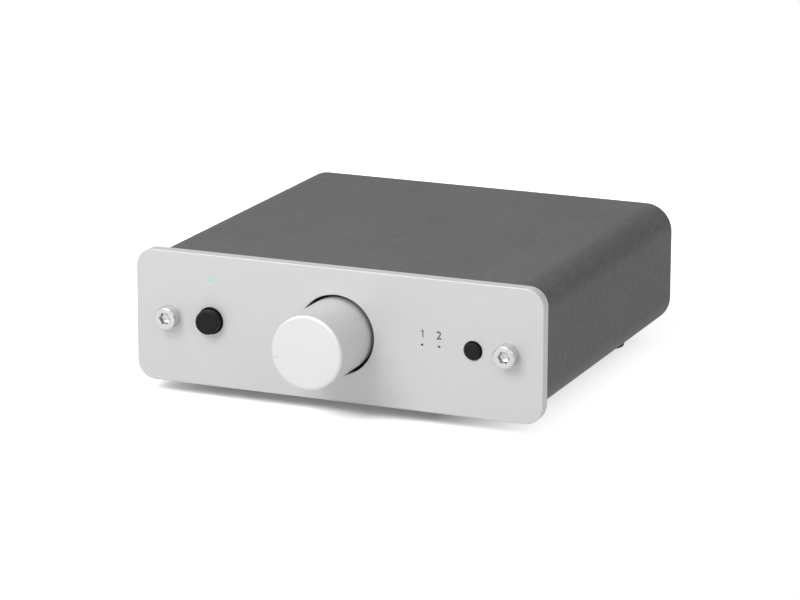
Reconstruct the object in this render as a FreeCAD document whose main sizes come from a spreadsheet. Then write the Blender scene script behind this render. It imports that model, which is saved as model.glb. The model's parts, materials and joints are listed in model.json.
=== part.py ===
import FreeCAD, Part
import Sketcher
import math
import os
import re

# A miniature phono preamp: a steel sleeve clamped between a thick aluminium front panel and a thin
# rear plate by two tapped rails, with the circuit board hung under the rails.
# +X is to the right seen from the front, +Y to the rear, +Z up. The origin is on the surface that
# the feet stand on, midway between the sides and midway between the knob's face and the sockets' ends.

sizes = {
    # front panel
    "panel_width": 103.0,
    "panel_height": 32.0,
    "panel_thick": 3.0,
    "panel_corner": 4.5,
    "panel_edge": 0.3,
    "panel_lift": 3.2,
    # sleeve and rear plate
    "sleeve_length": 91.5,
    "sleeve_width": 100.4,
    "sleeve_height": 30.4,
    "sleeve_lift": 1.0,
    "sleeve_wall": 1.5,
    "sleeve_corner": 6.8,
    "plate_thick": 1.5,
    "plate_inset": 0.7,
    # rails and screws
    "rail_side_gap": 2.8,
    "rail_width": 6.0,
    "rail_height": 13.5,
    "screw_radius": 1.5,
    "screw_head_radius": 2.75,
    "screw_head_height": 3.0,
    "screw_head_edge": 0.3,
    "hex_key": 2.5,
    "hex_depth": 1.6,
    "screw_length": 10.0,
    "screw_hole_gap": 0.2,
    "thread_gap": 0.05,
    "screw_tip_gap": 2.0,
    # circuit board
    "board_thick": 1.6,
    "board_side_gap": 2.7,
    "axis_rise": 10.0,
    "board_front_gap": 1.0,
    "board_rear_gap": 0.5,
    "board_screw_radius": 1.25,
    "board_screw_head_radius": 2.2,
    "board_screw_head_height": 1.4,
    "board_screw_length": 6.0,
    "board_screw_inset": 14.0,
    # control board, upright behind the front panel
    "control_gap": 8.0,
    "control_height": 20.0,
    "control_side_gap": 0.5,
    "header_length": 30.0,
    "header_depth": 2.5,
    "header_height": 2.5,
    # gain knob and potentiometer
    "knob_radius": 8.9,
    "knob_reach": 17.0,
    "knob_sink": 2.0,
    "knob_edge": 0.8,
    "knob_ring": 0.7,
    "knob_bore_depth": 13.0,
    "knob_rest_angle": 103.0,
    "mark_inner": 5.9,
    "mark_outer": 8.0,
    "mark_width": 0.5,
    "mark_depth": 0.2,
    "shaft_radius": 3.0,
    "shaft_gap": 0.05,
    "shaft_end_gap": 0.3,
    "shaft_flat": 1.0,
    "shaft_flat_length": 10.0,
    "pot_width": 14.0,
    "pot_depth": 10.0,
    "pot_seat": 3.0,
    "bushing_radius": 4.0,
    "bushing_reach": 5.5,
    "bushing_hole_gap": 0.2,
    "grub_radius": 1.5,
    "grub_length": 4.6,
    "grub_place": 6.0,
    # power button
    "power_inset": 10.7,
    "power_radius": 2.9,
    "power_reach": 2.5,
    "power_hole_gap": 0.3,
    "power_switch_width": 7.0,
    "power_switch_depth": 3.0,
    # input selector button
    "selector_inset": 8.6,
    "selector_radius": 2.0,
    "selector_reach": 0.8,
    "selector_hole_gap": 0.25,
    "selector_switch_width": 6.0,
    "selector_switch_depth": 3.4,
    # what both buttons share
    "button_flange": 1.2,
    "button_flange_thick": 1.0,
    "button_flange_gap": 0.3,
    "button_edge": 0.25,
    "plunger_radius": 1.6,
    "plunger_gap": 0.05,
    "plunger_sink": 1.3,
    "switch_floor": 0.4,
    # indicator lamps
    "power_lamp_rise": 9.5,
    "lamp_inset": 8.4,
    "lamp_pitch": 4.2,
    "lamp_radius": 0.35,
    "lamp_gap": 0.03,
    "pipe_radius": 1.2,
    "led_width": 1.6,
    "led_depth": 0.8,
    "led_gap": 0.2,
    # feet
    "foot_radius": 4.5,
    "foot_place": 37.9,
    "foot_inset": 12.0,
    # phono sockets
    "socket_pitch": 12.5,
    "socket_gap": 1.3,
    "socket_low": 4.7,
    "socket_rise": 13.2,
    "socket_reach": 9.0,
    "shell_radius": 4.15,
    "shell_wall": 0.5,
    "shell_seat": 2.0,
    "shell_collar": 0.2,
    "shell_hole_gap": 0.1,
    "ring_recess": 0.8,
    "contact_radius": 2.1,
    "contact_bore": 1.6,
    "contact_seat": 4.0,
    "contact_recess": 1.5,
    "block_width": 11.0,
    "block_depth": 14.0,
    "block_height": 22.6,
    "block_screw_radius": 1.2,
    "block_screw_head": 1.9,
    "block_screw_head_height": 1.6,
    "block_screw_length": 8.0,
    # digital socket
    "usb_width": 12.0,
    "usb_height": 11.0,
    "usb_depth": 16.0,
    "usb_wall": 0.4,
    "usb_reach": 0.8,
    "usb_hole_gap": 0.3,
    "usb_floor": 4.0,
    "tongue_width": 5.6,
    "tongue_height": 3.2,
    "tongue_recess": 2.0,
    # power inlet
    "inlet_width": 9.0,
    "inlet_height": 11.0,
    "inlet_depth": 14.0,
    "inlet_rise": 6.5,
    "inlet_bore": 3.1,
    "inlet_bore_depth": 9.5,
    "inlet_nose": 1.2,
    "inlet_nose_radius": 4.0,
    "inlet_hole_gap": 0.2,
    "inlet_pin_radius": 1.05,
    "inlet_pin_recess": 0.6,
    # cartridge type switch
    "type_width": 7.0,
    "type_height": 7.0,
    "type_depth": 12.0,
    "type_button_radius": 1.75,
    "type_button_reach": 4.0,
    "type_hole_gap": 0.35,
    "type_bore_depth": 9.0,
    "type_button_sink": 5.5,
    # ground post
    "stud_radius": 2.0,
    "stud_reach": 8.6,
    "stud_head_radius": 3.5,
    "stud_head_thick": 2.2,
    "stud_hole_gap": 0.1,
    "clamp_nut_key": 6.0,
    "clamp_nut_thick": 2.0,
    "washer_radius": 3.8,
    "washer_thick": 0.8,
    "thumb_radius": 4.0,
    "thumb_thick": 3.6,
    "thumb_edge": 0.4,
    "ground_play": 0.05,
    # parts on the board
    "can_radius": 4.0,
    "can_height": 11.5,
    "film_length": 7.2,
    "film_width": 3.5,
    "film_height": 7.5,
    "relay_length": 15.0,
    "relay_width": 7.5,
    "relay_height": 9.5,
    "chip_width": 7.0,
    "chip_height": 1.4,
    "amp_length": 9.4,
    "amp_width": 6.4,
    "amp_height": 3.6,
    "crystal_length": 11.0,
    "crystal_width": 4.6,
    "crystal_height": 3.5,
    "regulator_width": 10.0,
    "regulator_depth": 4.5,
    "regulator_height": 14.0,
    "resistor_length": 3.2,
    "resistor_width": 1.6,
    "resistor_height": 0.6,
    "part_pitch": 11.0,
    "row_gap": 2.0,
    "resistor_gap": 1.4,
}

# Places worked out from the sizes. All y places run back from the knob's face.
place_rules = {
    "front": "knob_reach - (knob_reach + panel_thick + sleeve_length + plate_thick + socket_reach) / 2",
    "panel_back": "front + panel_thick",
    "plate_front": "panel_back + sleeve_length",
    "plate_back": "plate_front + plate_thick",
    "centre": "panel_lift + panel_height / 2",
    "rail_place": "sleeve_width / 2 - sleeve_wall - rail_side_gap - rail_width / 2",
    "rail_inner": "rail_place - rail_width / 2",
    "sleeve_bottom": "panel_lift + sleeve_lift",
    "sleeve_middle": "sleeve_bottom + sleeve_height / 2",
    "plate_width": "sleeve_width - 2 * plate_inset",
    "plate_height": "sleeve_height - 2 * plate_inset",
    "board_top": "centre - axis_rise",
    "board_width": "sleeve_width - 2 * sleeve_wall - 2 * board_side_gap",
    "board_bottom": "board_top - board_thick",
    "board_front": "panel_back + board_front_gap",
    "board_back": "plate_front - board_rear_gap",
    "rail_bottom": "board_top",
    "control_front": "panel_back + control_gap",
    "control_back": "control_front + board_thick",
    "control_width": "2 * (rail_inner - control_side_gap)",
    "knob_back": "front + knob_sink",
    "knob_bore_end": "knob_back - knob_bore_depth",
    "power_place": "rail_place - power_inset",
    "selector_place": "rail_place - selector_inset",
    "second_lamp": "selector_place - lamp_inset",
    "first_lamp": "second_lamp - lamp_pitch",
    "flange_front": "panel_back + button_flange_gap",
    "flange_back": "flange_front + button_flange_thick",
    "power_switch_front": "control_front - power_switch_depth",
    "selector_switch_front": "control_front - selector_switch_depth",
    "ground_place": "rail_inner - socket_gap - type_width / 2",
    "first_socket": "ground_place - type_width / 2 - socket_gap - block_width / 2",
    "last_socket": "first_socket - 2 * socket_pitch",
    "usb_place": "last_socket - block_width / 2 - socket_gap - usb_width / 2",
    "inlet_place": "usb_place - usb_width / 2 - socket_gap - inlet_width / 2",
    "low_socket": "board_top + socket_low",
    "high_socket": "low_socket + socket_rise",
    "block_front": "plate_front - block_depth",
    "inlet_axis": "board_top + inlet_rise",
    "usb_axis": "board_top + usb_height / 2",
    "type_axis": "board_top + type_height / 2",
    "clamp_nut_back": "plate_back + clamp_nut_thick",
    "washer_front": "clamp_nut_back + ground_play",
    "washer_back": "washer_front + washer_thick",
    "thumb_front": "washer_back",
    "can_row": "control_back + pot_depth + row_gap + can_radius",
    "film_row": "can_row + can_radius + row_gap + film_width / 2",
    "resistor_row": "film_row + film_width / 2 + row_gap + resistor_width / 2",
    "amp_row": "block_front - row_gap - chip_width / 2",
    "relay_row": "amp_row - amp_width / 2 - row_gap - relay_length / 2",
    "crystal_row": "amp_row - chip_width / 2 - row_gap - crystal_width / 2",
}

BACKWARD = FreeCAD.Rotation(FreeCAD.Vector(1, 0, 0), -90)

doc = FreeCAD.newDocument("PhonoPreamp")
sheet = doc.addObject("Spreadsheet::Sheet", "Sizes")
for row, (name, value) in enumerate(sizes.items(), start=1):
    sheet.set(f"A{row}", name)
    sheet.set(f"B{row}", str(value))
    sheet.setAlias(f"B{row}", name)
doc.recompute()
places = doc.addObject("App::VarSet", "Places")
subparts = []


def spell(text):
    """Write a rule's words as cells of the sheet or as worked-out places."""
    def owner(word):
        name = word.group()
        if name in sizes:
            return "Sizes." + name
        return "Places." + name if name in place_rules else name
    return re.sub(r"[a-z][a-z_]+", owner, text)


for name, rule in place_rules.items():
    places.addProperty("App::PropertyFloat", name)
    places.setExpression(name, spell(rule))
doc.recompute()


def bind(item, **rules):
    for name, rule in rules.items():
        item.setExpression(name, spell(rule))


def put(item, x="0", y="0", z="0", turn=None):
    if turn:
        item.Placement.Rotation = turn
    for axis, rule in (("x", x), ("y", y), ("z", z)):
        item.setExpression("Placement.Base." + axis, spell(rule))
    return item


def block(x, width, front, back, bottom, top):
    """A box centred on x, between two y places and two heights."""
    item = doc.addObject("Part::Box", "Block")
    bind(item, Length=width, Width=f"({back}) - ({front})", Height=f"({top}) - ({bottom})")
    return put(item, f"({x}) - ({width}) / 2", front, bottom)


def rod(radius, x, z, front, back):
    """A cylinder along y, between two y places."""
    item = doc.addObject("Part::Cylinder", "Rod")
    bind(item, Radius=radius, Height=f"({back}) - ({front})")
    return put(item, x, front, z, BACKWARD)


def post(radius, x, y, bottom, top):
    """A cylinder along z, between two heights."""
    item = doc.addObject("Part::Cylinder", "Post")
    bind(item, Radius=radius, Height=f"({top}) - ({bottom})")
    return put(item, x, y, bottom)


def hexagon(key, x, z, front, back):
    """A six-sided prism along y, given by its width across the flats."""
    item = doc.addObject("Part::Prism", "Hexagon")
    item.Polygon = 6
    bind(item, Circumradius=f"({key}) / 2 / cos(30)", Height=f"({back}) - ({front})")
    return put(item, x, front, z, BACKWARD)


def cut(base, *tools):
    for tool in tools:
        item = doc.addObject("Part::Cut", "Cut")
        item.Base = base
        item.Tool = tool
        base = item
    return base


def fuse(*items):
    item = doc.addObject("Part::MultiFuse", "Fuse")
    item.Shapes = list(items)
    return item


def group(items):
    item = doc.addObject("Part::Compound", "Group")
    item.Links = list(items)
    return item


def tube(outer, inner, x, z, front, back):
    return cut(rod(outer, x, z, front, back), rod(inner, x, z, front, back))


def subpart(name, item):
    item.Label = name
    subparts.append(item)
    return item


def new_body(name):
    return subpart(name, doc.addObject("PartDesign::Body", "Body"))


def new_sketch(body, role, offset="0"):
    """A sketch on one of the body's own planes, moved along the plane's normal."""
    sketch = body.newObject("Sketcher::SketchObject", "Sketch")
    plane = next(f for f in body.Origin.OriginFeatures if f.Role == role)
    sketch.AttachmentSupport = [(plane, "")]
    sketch.MapMode = "FlatFace"
    sketch.setExpression("AttachmentOffset.Base.z", spell(offset))
    return sketch


def set_distance(sketch, kind, geometry, point, rule):
    count = sketch.ConstraintCount
    sketch.addConstraint(Sketcher.Constraint(kind, -1, 1, geometry, point, 1.0))
    sketch.renameConstraint(count, f"d{count}")
    sketch.setExpression(f"Constraints.d{count}", spell(rule))


def outline(sketch, corners):
    """A closed run of straight lines through corners given as pairs of rules."""
    first = sketch.GeometryCount
    count = len(corners)
    for step in range(count):
        angle = 2 * math.pi * step / count
        after = 2 * math.pi * (step + 1) / count
        start = FreeCAD.Vector(math.cos(angle), math.sin(angle), 0)
        end = FreeCAD.Vector(math.cos(after), math.sin(after), 0)
        sketch.addGeometry(Part.LineSegment(start, end), False)
    for step in range(count):
        after = first + (step + 1) % count
        sketch.addConstraint(Sketcher.Constraint("Coincident", first + step, 2, after, 1))
    for step, (across, along) in enumerate(corners):
        set_distance(sketch, "DistanceX", first + step, 1, across)
        set_distance(sketch, "DistanceY", first + step, 1, along)


def rectangle(sketch, width, height, x="0", z="0"):
    left, right = f"({x}) - ({width}) / 2", f"({x}) + ({width}) / 2"
    low, high = f"({z}) - ({height}) / 2", f"({z}) + ({height}) / 2"
    outline(sketch, [(left, low), (right, low), (right, high), (left, high)])


def circle(sketch, radius, x="0", z="0"):
    index = sketch.GeometryCount
    normal = FreeCAD.Vector(0, 0, 1)
    sketch.addGeometry(Part.Circle(FreeCAD.Vector(index, index, 0), normal, 1.0), False)
    set_distance(sketch, "DistanceX", index, 3, x)
    set_distance(sketch, "DistanceY", index, 3, z)
    count = sketch.ConstraintCount
    sketch.addConstraint(Sketcher.Constraint("Radius", index, 1.0))
    sketch.renameConstraint(count, f"r{count}")
    sketch.setExpression(f"Constraints.r{count}", spell(radius))


def pad(body, sketch, length):
    feature = body.newObject("PartDesign::Pad", "Pad")
    feature.Profile = sketch
    feature.Reversed = True
    bind(feature, Length=length)
    doc.recompute()
    return feature


def pocket(body, sketch, depth=None):
    """A cut from the sketch against its normal, right through where no depth is given."""
    before = body.Shape.Volume
    feature = body.newObject("PartDesign::Pocket", "Pocket")
    feature.Profile = sketch
    if depth:
        bind(feature, Length=depth)
    else:
        feature.Type = "ThroughAll"
    doc.recompute()
    if body.Shape.Volume >= before:
        raise RuntimeError(f"a pocket of {body.Label} cuts nothing")
    return feature


def soften(body, kind, base, size, chosen):
    """Round or chamfer the edges of a feature that the test picks."""
    names = [f"Edge{n}" for n, edge in enumerate(base.Shape.Edges, start=1) if chosen(edge)]
    feature = body.newObject("PartDesign::" + kind, kind)
    feature.Base = (base, names)
    bind(feature, **{"Radius" if kind == "Fillet" else "Size": size})
    doc.recompute()
    return feature


def runs_back(edge):
    """True for a straight edge along y."""
    ends = [vertex.Point for vertex in edge.Vertexes]
    return len(ends) == 2 and abs(ends[0].x - ends[1].x) + abs(ends[0].z - ends[1].z) < 0.001


def lies_at(y):
    return lambda edge: edge.BoundBox.YLength < 0.001 and abs(edge.BoundBox.YMin - y) < 0.001


def corner_at(half_width):
    return lambda edge: runs_back(edge) and abs(abs(edge.CenterOfMass.x) - half_width) < 0.001


def make_front_panel():
    body = new_body("front_panel")
    outer = new_sketch(body, "XZ_Plane", "-(front)")
    rectangle(outer, "panel_width", "panel_height", z="centre")
    plain = pad(body, outer, "panel_thick")
    rounded = soften(body, "Fillet", plain, "panel_corner", runs_back)
    soften(body, "Chamfer", rounded, "panel_edge", lies_at(places.front))
    holes = new_sketch(body, "XZ_Plane", "-(front)")
    circle(holes, "knob_radius + knob_ring", "0", "centre")
    circle(holes, "power_radius + power_hole_gap", "-(power_place)", "centre")
    circle(holes, "selector_radius + selector_hole_gap", "selector_place", "centre")
    circle(holes, "lamp_radius + lamp_gap", "-(power_place)", "centre + power_lamp_rise")
    circle(holes, "lamp_radius + lamp_gap", "first_lamp", "centre")
    circle(holes, "lamp_radius + lamp_gap", "second_lamp", "centre")
    circle(holes, "screw_radius + screw_hole_gap", "-(rail_place)", "centre")
    circle(holes, "screw_radius + screw_hole_gap", "rail_place", "centre")
    pocket(body, holes)


def make_sleeve():
    # The inner corners are rounded before the outer ones, so that the wall never runs out.
    body = new_body("sleeve")
    outer = new_sketch(body, "XZ_Plane", "-(panel_back)")
    rectangle(outer, "sleeve_width", "sleeve_height", z="sleeve_middle")
    pad(body, outer, "sleeve_length")
    inner = new_sketch(body, "XZ_Plane", "-(panel_back)")
    inner_width, inner_height = "sleeve_width - 2 * sleeve_wall", "sleeve_height - 2 * sleeve_wall"
    rectangle(inner, inner_width, inner_height, z="sleeve_middle")
    hollow = pocket(body, inner)
    inner_half = sizes["sleeve_width"] / 2 - sizes["sleeve_wall"]
    inside = soften(body, "Fillet", hollow, "sleeve_corner - sleeve_wall", corner_at(inner_half))
    soften(body, "Fillet", inside, "sleeve_corner", corner_at(sizes["sleeve_width"] / 2))


def make_rear_plate():
    body = new_body("rear_plate")
    outer = new_sketch(body, "XZ_Plane", "-(plate_front)")
    rectangle(outer, "plate_width", "plate_height", z="sleeve_middle")
    plain = pad(body, outer, "plate_thick")
    soften(body, "Fillet", plain, "sleeve_corner - plate_inset", runs_back)
    holes = new_sketch(body, "XZ_Plane", "-(plate_front)")
    circle(holes, "screw_radius + screw_hole_gap", "-(rail_place)", "centre")
    circle(holes, "screw_radius + screw_hole_gap", "rail_place", "centre")
    for step in range(3):
        x = f"first_socket - {step} * socket_pitch"
        circle(holes, "shell_radius + shell_collar + shell_hole_gap", x, "low_socket")
        circle(holes, "shell_radius + shell_collar + shell_hole_gap", x, "high_socket")
        circle(holes, "block_screw_radius + screw_hole_gap", x, "(low_socket + high_socket) / 2")
    circle(holes, "inlet_nose_radius + inlet_hole_gap", "inlet_place", "inlet_axis")
    circle(holes, "type_button_radius + type_hole_gap", "ground_place", "type_axis")
    circle(holes, "stud_radius + stud_hole_gap", "ground_place", "high_socket")
    rectangle(holes, "usb_width + 2 * usb_hole_gap", "usb_height + 2 * usb_hole_gap",
              "usb_place", "usb_axis")
    pocket(body, holes)


def cap_screw(x, face, way):
    """A socket cap screw along y with its head on a face; way is 1 where it points to the rear."""
    ahead = f"{face} - screw_head_height" if way > 0 else f"{face} + screw_head_height"
    tip = f"{face} + screw_length" if way > 0 else f"{face} - screw_length"
    key_end = f"{ahead} + hex_depth" if way > 0 else f"{ahead} - hex_depth"
    span = lambda a, b: (a, b) if way > 0 else (b, a)
    head = doc.addObject("Part::Chamfer", "Head")
    head.Base = rod("screw_head_radius", x, "centre", *span(ahead, face))
    doc.recompute()
    outer = places.front if way > 0 else places.plate_back
    outer -= way * sizes["screw_head_height"]
    rim = [n for n, edge in enumerate(head.Base.Shape.Edges, start=1) if lies_at(outer)(edge)]
    head.Edges = [(n, sizes["screw_head_edge"], sizes["screw_head_edge"]) for n in rim]
    key = hexagon("hex_key", x, "centre", *span(ahead, key_end))
    shank = rod("screw_radius", x, "centre", *span(face, tip))
    return fuse(cut(head, key), shank)


def make_rails():
    for name, x in (("left_side_rail", "-(rail_place)"), ("right_side_rail", "rail_place")):
        rail = block(x, "rail_width", "panel_back", "plate_front", "rail_bottom",
                     "rail_bottom + rail_height")
        depth = "(screw_length + screw_tip_gap)"
        front_hole = rod("screw_radius + thread_gap", x, "centre", "panel_back", f"panel_back + {depth}")
        rear_hole = rod("screw_radius + thread_gap", x, "centre", f"plate_front - {depth}", "plate_front")
        board_holes = [post("board_screw_radius + thread_gap", x, y, "rail_bottom",
                            "rail_bottom + board_screw_length")
                       for y in board_screw_rows()]
        subpart(name, cut(rail, front_hole, rear_hole, *board_holes))


def board_screw_rows():
    return ("panel_back + board_screw_inset", "plate_front - board_screw_inset")


def make_fasteners():
    sides = ("-(rail_place)", "rail_place")
    subpart("front_panel_screws", group([cap_screw(x, "front", 1) for x in sides]))
    subpart("rear_plate_screws", group([cap_screw(x, "plate_back", -1) for x in sides]))
    screws = []
    for x in sides:
        for y in board_screw_rows():
            head = post("board_screw_head_radius", x, y, "board_bottom - board_screw_head_height",
                        "board_bottom")
            shank = post("board_screw_radius", x, y, "board_bottom",
                         "board_bottom + board_screw_length")
            screws.append(fuse(head, shank))
    subpart("circuit_board_screws", group(screws))


def make_circuit_board():
    body = new_body("circuit_board")
    sketch = new_sketch(body, "XY_Plane", "board_top")
    rectangle(sketch, "board_width", "board_back - board_front", z="(board_front + board_back) / 2")
    pad(body, sketch, "board_thick")
    holes = new_sketch(body, "XY_Plane", "board_top")
    for x in ("-(rail_place)", "rail_place"):
        for y in board_screw_rows():
            circle(holes, "board_screw_radius + screw_hole_gap", x, y)
    pocket(body, holes)


def make_control_board():
    body = new_body("control_board")
    sketch = new_sketch(body, "XZ_Plane", "-(control_front)")
    rectangle(sketch, "control_width", "control_height", z="board_top + control_height / 2")
    pad(body, sketch, "board_thick")
    hole = new_sketch(body, "XZ_Plane", "-(control_front)")
    circle(hole, "bushing_radius + bushing_hole_gap", "0", "centre")
    pocket(body, hole)
    subpart("control_board_header", block("0", "header_length", "control_back",
                                          "control_back + header_depth", "board_top",
                                          "board_top + header_height"))


def turned():
    """The placement that turns the knob and its shaft to where the knob points at rest."""
    angle = FreeCAD.Rotation(FreeCAD.Vector(0, 1, 0), -sizes["knob_rest_angle"])
    return FreeCAD.Placement(FreeCAD.Vector(0, 0, places.centre), angle)


def make_gain_knob():
    # The knob is drawn with its mark at the top, then turned to its rest position.
    body = new_body("gain_knob")
    profile = new_sketch(body, "XY_Plane")
    nose = "front - knob_reach"
    bore = "shaft_radius + shaft_gap"
    outline(profile, [("0", nose), ("knob_radius", nose), ("knob_radius", "knob_back"),
                      (bore, "knob_back"), (bore, "knob_bore_end"), ("0", "knob_bore_end")])
    solid = body.newObject("PartDesign::Revolution", "Revolution")
    solid.Profile = profile
    solid.ReferenceAxis = (profile, ["V_Axis"])
    solid.Angle = 360
    doc.recompute()
    face = places.front - sizes["knob_reach"]
    soften(body, "Fillet", solid, "knob_edge", lies_at(face))
    mark = new_sketch(body, "XZ_Plane", f"-({nose})")
    rectangle(mark, "mark_width", "mark_outer - mark_inner", z="(mark_inner + mark_outer) / 2")
    pocket(body, mark, "mark_depth")
    grub_hole = new_sketch(body, "YZ_Plane")
    circle(grub_hole, "grub_radius + thread_gap", "front - grub_place", "0")
    pocket(body, grub_hole)
    body.Placement = turned()

    tip = "knob_bore_end + shaft_end_gap"
    shaft = rod("shaft_radius", "0", "0", tip, "control_back + pot_seat - shaft_end_gap")
    flat = block("-(2 * shaft_radius - shaft_flat)", "2 * shaft_radius", tip,
                 f"{tip} + shaft_flat_length", "-(shaft_radius)", "shaft_radius")
    spindle = subpart("potentiometer_shaft", cut(shaft, flat))
    spindle.Placement = turned()

    grub = doc.addObject("Part::Cylinder", "Grub")
    bind(grub, Radius="grub_radius", Height="grub_length")
    put(grub, "-(shaft_radius - shaft_flat)", "front - grub_place", "0",
        FreeCAD.Rotation(FreeCAD.Vector(0, 1, 0), -90))
    screw = subpart("knob_grub_screw", group([grub]))
    screw.Placement = turned()


def make_potentiometer():
    back = "control_back + pot_depth"
    housing = block("0", "pot_width", "control_back", back, "centre - pot_width / 2",
                    "centre + pot_width / 2")
    seat = rod("shaft_radius + shaft_gap", "0", "centre", "control_back", "control_back + pot_seat")
    subpart("potentiometer_body", cut(housing, seat))
    subpart("potentiometer_bushing", tube("bushing_radius", "shaft_radius + shaft_gap", "0", "centre",
                                          "control_back - bushing_reach", "control_back"))


def make_button(name, x, radius, reach):
    """A round cap with a retaining flange behind the panel."""
    cap = rod(radius, x, "centre", f"front - {reach}", "flange_front")
    doc.recompute()
    rim = doc.addObject("Part::Fillet", "Rim")
    rim.Base = cap
    outer = places.front - sizes[reach]
    chosen = [n for n, edge in enumerate(cap.Shape.Edges, start=1) if lies_at(outer)(edge)]
    rim.Edges = [(n, sizes["button_edge"], sizes["button_edge"]) for n in chosen]
    flange = rod(f"{radius} + button_flange", x, "centre", "flange_front", "flange_back")
    subpart(name, fuse(rim, flange))


def make_switch(name, x, width, front):
    """A push switch body on the control board and the plunger that carries the cap."""
    end = f"{front} + plunger_sink"
    housing = block(x, width, front, "control_front", f"centre - {width} / 2", f"centre + {width} / 2")
    bore = rod("plunger_radius + plunger_gap", x, "centre", front, "control_front - switch_floor")
    subpart(name + "_body", cut(housing, bore))
    subpart(name + "_plunger", rod("plunger_radius", x, "centre", "flange_back", end))


def light_pipe(x, z):
    nose = rod("lamp_radius", x, z, "front", "panel_back")
    barrel = rod("pipe_radius", x, z, "panel_back", "control_front - led_depth - led_gap")
    return fuse(nose, barrel)


def led(x, z):
    return block(x, "led_width", "control_front - led_depth", "control_front",
                 f"{z} - led_width / 2", f"{z} + led_width / 2")


def make_lamps():
    power_x, power_z = "-(power_place)", "centre + power_lamp_rise"
    subpart("power_light_pipe", light_pipe(power_x, power_z))
    subpart("power_led", led(power_x, power_z))
    inputs = ("first_lamp", "second_lamp")
    subpart("input_light_pipes", group([light_pipe(x, "centre") for x in inputs]))
    subpart("input_leds", group([led(x, "centre") for x in inputs]))


def make_rubber_feet():
    # Each foot is half a ball, stuck to the sleeve by its flat and cut flat where it stands.
    feet = []
    for x in ("-(foot_place)", "foot_place"):
        for y in ("panel_back + foot_inset", "plate_front - foot_inset"):
            ball = doc.addObject("Part::Sphere", "Ball")
            bind(ball, Radius="foot_radius")
            put(ball, x, y, "sleeve_bottom")
            foot = doc.addObject("Part::Common", "Foot")
            foot.Base = ball
            foot.Tool = block(x, "2 * foot_radius + 2", f"{y} - foot_radius - 1",
                              f"{y} + foot_radius + 1", "0", "sleeve_bottom")
            feet.append(foot)
    subpart("rubber_feet", group(feet))


def make_phono_sockets():
    # Three stacked pairs of phono sockets: each is a moulded block with two metal shells.
    shells, rings, contacts, screws = [], {"low_socket": [], "high_socket": []}, [], []
    middle = "(low_socket + high_socket) / 2"
    for step, name in enumerate(("phono_in_housing", "line_in_housing", "line_out_housing")):
        x = f"first_socket - {step} * socket_pitch"
        housing = block(x, "block_width", "block_front", "plate_front", "board_top",
                        "board_top + block_height")
        hollows = [rod("block_screw_radius + thread_gap", x, middle,
                       "plate_back - block_screw_length - screw_tip_gap", "plate_front")]
        for z in ("low_socket", "high_socket"):
            hollows.append(rod("shell_radius + shell_collar", x, z, "plate_front - shell_seat",
                               "plate_front"))
            hollows.append(rod("contact_radius", x, z, "plate_front - contact_seat",
                               "plate_front - shell_seat"))
            collar = tube("shell_radius + shell_collar", "shell_radius - shell_wall", x, z,
                          "plate_front - shell_seat", "plate_back")
            shells.append(fuse(collar, tube("shell_radius", "shell_radius - shell_wall", x, z,
                                            "plate_back", "plate_back + socket_reach")))
            rings[z].append(tube("shell_radius - shell_wall", "contact_radius", x, z,
                                 "plate_front - shell_seat",
                                 "plate_back + socket_reach - ring_recess"))
            contacts.append(tube("contact_radius", "contact_bore", x, z,
                                 "plate_front - contact_seat",
                                 "plate_back + socket_reach - contact_recess"))
        subpart(name, cut(housing, *hollows))
        screws.append(fuse(rod("block_screw_head", x, middle, "plate_back",
                               "plate_back + block_screw_head_height"),
                           rod("block_screw_radius", x, middle,
                               "plate_back - block_screw_length", "plate_back")))
    subpart("rca_shells", group(shells))
    subpart("red_rings", group(rings["low_socket"]))
    subpart("white_rings", group(rings["high_socket"]))
    subpart("rca_centre_contacts", group(contacts))
    subpart("rca_block_screws", group(screws))


def make_digital_socket():
    x = "usb_place"
    mouth = "plate_back + usb_reach"
    front = f"{mouth} - usb_depth"
    outer = block(x, "usb_width", front, mouth, "board_top", "board_top + usb_height")
    hollow = block(x, "usb_width - 2 * usb_wall", f"{front} + usb_floor", mouth,
                   "board_top + usb_wall", "board_top + usb_height - usb_wall")
    subpart("usb_socket_shell", cut(outer, hollow))
    subpart("usb_socket_tongue", block(x, "tongue_width", f"{front} + usb_floor",
                                       f"{mouth} - tongue_recess",
                                       "usb_axis - tongue_height / 2", "usb_axis + tongue_height / 2"))


def make_power_inlet():
    x = "inlet_place"
    mouth = "plate_front + inlet_nose"
    housing = block(x, "inlet_width", "plate_front - inlet_depth", "plate_front", "board_top",
                    "board_top + inlet_height")
    nose = rod("inlet_nose_radius", x, "inlet_axis", "plate_front", mouth)
    bore = rod("inlet_bore", x, "inlet_axis", f"{mouth} - inlet_bore_depth", mouth)
    subpart("dc_jack_housing", cut(fuse(housing, nose), bore))
    subpart("dc_jack_pin", rod("inlet_pin_radius", x, "inlet_axis", f"{mouth} - inlet_bore_depth",
                               f"{mouth} - inlet_pin_recess"))


def make_cartridge_switch():
    x = "ground_place"
    housing = block(x, "type_width", "plate_front - type_depth", "plate_front", "board_top",
                    "board_top + type_height")
    bore = rod("type_button_radius + plunger_gap", x, "type_axis", "plate_front - type_bore_depth",
               "plate_front")
    subpart("cartridge_switch_body", cut(housing, bore))
    subpart("cartridge_switch_button", rod("type_button_radius", x, "type_axis",
                                           "plate_front - type_button_sink",
                                           "plate_back + type_button_reach"))


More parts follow.
